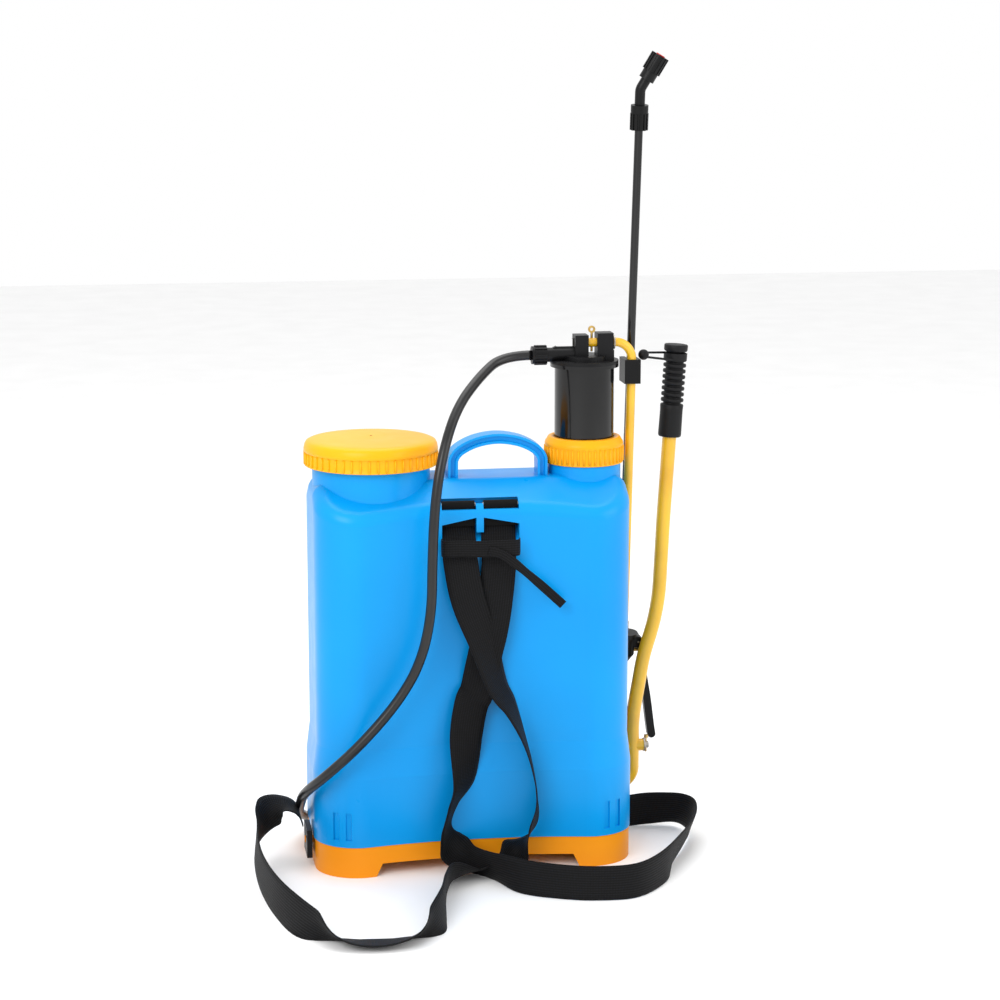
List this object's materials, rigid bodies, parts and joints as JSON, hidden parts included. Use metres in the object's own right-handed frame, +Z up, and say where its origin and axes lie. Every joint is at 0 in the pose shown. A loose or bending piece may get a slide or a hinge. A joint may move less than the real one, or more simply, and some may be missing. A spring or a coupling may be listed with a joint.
{
  "type": "backpack sprayer",
  "caption": "Knapsack sprayer: moulded tank on a skirt with screw lid, lever-driven piston pump with air chamber, hose, trigger lance with angled nozzle and webbing carrying straps.",
  "frame": {"origin": "on the ground, at the centre of the tank's footprint", "axes": "+Z up, +Y away from the wearer, +X towards the pump and lever"},
  "size_m": [0.509, 0.4583, 0.8971],
  "materials": {
    "tank_blue": "satin, blow-moulded",
    "cap_yellow": "satin",
    "base_yellow": "satin",
    "gloss_black": "gloss",
    "black_plastic": "satin",
    "yellow_steel": "gloss enamel",
    "steel": "zinc plated",
    "brass": "plain",
    "black_rubber": "matt",
    "hose_rubber": "glossy",
    "webbing": "woven",
    "tip_red": "gloss",
    "white_plastic": "satin"
  },
  "bodies": {
    "tank_body": {"tank": "tank_blue", "base": "base_yellow", "base_screws": "steel", "carry_handle": "tank_blue", "filler_strainer": "white_plastic", "neck_gasket": "black_rubber", "pump_cylinder": "black_plastic", "foot_valve_cage": "black_plastic", "suction_tube": "black_plastic", "intake_strainer": "black_plastic", "pivot_bush": "black_plastic", "strap_anchor_rods": "steel", "strap_loops": "webbing", "strap_left_hanging": "webbing", "strap_right_hanging": "webbing", "strap_left_floor": "webbing", "strap_right_floor": "webbing", "strap_tie": "webbing", "strap_buckle_left": "black_plastic", "strap_buckle_right": "black_plastic", "hose": "hose_rubber"},
    "lid_body": {"lid": "cap_yellow", "lid_gasket": "black_rubber", "lid_vent_valve": "black_rubber"},
    "collar_body": {"collar_nut": "cap_yellow"},
    "foot_ball": {"foot_valve_ball": "steel"},
    "pump": {"air_chamber": "gloss_black", "plunger_tube": "black_plastic", "piston_head": "black_plastic", "piston_cup": "black_rubber", "pump_head": "black_plastic", "head_o_ring": "black_rubber"},
    "hose_nut": {"pump_hose_nut": "black_plastic"},
    "delivery_ball": {"delivery_ball": "steel"},
    "rod": {"connecting_rod": "yellow_steel", "rod_top_cotter": "brass", "rod_washer": "steel", "lance_clip": "black_plastic"},
    "lever": {"lever_tube": "yellow_steel", "crank_pin": "steel", "crank_washer": "steel", "crank_cotter": "brass", "pivot_collar": "steel", "lever_grip": "black_rubber", "lever_tie": "black_rubber"},
    "wand": {"trigger_handle": "black_plastic", "handle_filter": "white_plastic", "valve_cap": "black_plastic", "valve_seal": "black_rubber", "trigger_pin": "steel", "lance_tube": "gloss_black"},
    "handle_nut": {"handle_hose_nut": "black_plastic"},
    "trigger": {"trigger_lever": "black_plastic"},
    "stem": {"valve_stem": "brass"},
    "lance_socket_nut": {"handle_lance_nut": "black_plastic"},
    "lance_top_nut": {"lance_nut": "black_plastic"},
    "nozzle": {"nozzle_elbow": "black_plastic", "swirl_plate": "black_plastic"},
    "nozzle_end": {"nozzle_cap": "black_plastic", "nozzle_tip": "tip_red"}
  },
  "joints": [
    {"name": "lever_swing", "type": "hinge", "parent": "tank_body", "child": "lever", "pos_m": [0.165, 0.045, 0.054], "axis": [1, 0, 0], "range_deg": [0, 90]},
    {"name": "pump_stroke", "type": "slide", "parent": "tank_body", "child": "pump", "axis": [0, 0, 1], "range_m": [-0.0433, 0], "deforming": ["hose"]},
    {"name": "rod_tilt", "type": "hinge", "parent": "pump", "child": "rod", "pos_m": [0.14, 0, 0.578], "axis": [1, 0, 0], "range_deg": [-5.4, 0]},
    {"name": "hose_nut_turn", "type": "hinge", "parent": "pump", "child": "hose_nut", "pos_m": [0.08, 0, 0.565], "axis": [1, 0, 0], "continuous": true},
    {"name": "delivery_ball_lift", "type": "slide", "parent": "pump", "child": "delivery_ball", "axis": [0, 0, 1], "range_m": [0, 0.002]},
    {"name": "foot_ball_lift", "type": "slide", "parent": "tank_body", "child": "foot_ball", "axis": [0, 0, 1], "range_m": [0, 0.003]},
    {"name": "lid_lift", "type": "slide", "parent": "tank_body", "child": "lid_body", "axis": [0, 0, 1], "range_m": [0, 0.15]},
    {"name": "collar_nut_turn", "type": "hinge", "parent": "tank_body", "child": "collar_body", "pos_m": [0.132, 0, 0.46], "axis": [0, 0, 1], "continuous": true},
    {"name": "wand_swing", "type": "hinge", "parent": "tank_body", "child": "wand", "pos_m": [0.188, 0.077, 0.09], "axis": [1, 0, 0], "range_deg": [-40, 0]},
    {"name": "handle_nut_turn", "type": "hinge", "parent": "wand", "child": "handle_nut", "pos_m": [0.188, 0.07612, 0.09694], "axis": [0, -0.1253, 0.9921], "continuous": true},
    {"name": "trigger_squeeze", "type": "hinge", "parent": "wand", "child": "trigger", "pos_m": [0.208, 0.06046, 0.22096], "axis": [0, 0.9921, 0.1253], "range_deg": [0, 8], "stiffness_Nm_per_rad": 1.2, "springref_deg": -5.73},
    {"name": "stem_push", "type": "slide", "parent": "wand", "child": "stem", "axis": [-1, 0, 0], "range_m": [0, 0.0018]},
    {"name": "socket_nut_turn", "type": "hinge", "parent": "wand", "child": "lance_socket_nut", "pos_m": [0.188, 0.05845, 0.23683], "axis": [0, -0.1253, 0.9921], "continuous": true},
    {"name": "lance_nut_turn", "type": "hinge", "parent": "wand", "child": "lance_top_nut", "pos_m": [0.188, -0.01546, 0.82192], "axis": [0, -0.1253, 0.9921], "continuous": true},
    {"name": "nozzle_aim", "type": "hinge", "parent": "wand", "child": "nozzle", "pos_m": [0.188, -0.01672, 0.83184], "axis": [0, -0.1253, 0.9921], "continuous": true},
    {"name": "nozzle_cap_turn", "type": "hinge", "parent": "nozzle", "child": "nozzle_end", "pos_m": [0.198, -0.0219, 0.87284], "axis": [0.5, -0.1085, 0.8592], "continuous": true}
  ],
  "couplings": [
    {"joint": "pump_stroke", "follows": "lever_swing", "m_per_rad": -0.027311},
    {"joint": "rod_tilt", "follows": "lever_swing", "ratio": -0.059633},
    {"joint": "stem_push", "follows": "trigger_squeeze", "m_per_rad": 0.012}
  ]
}
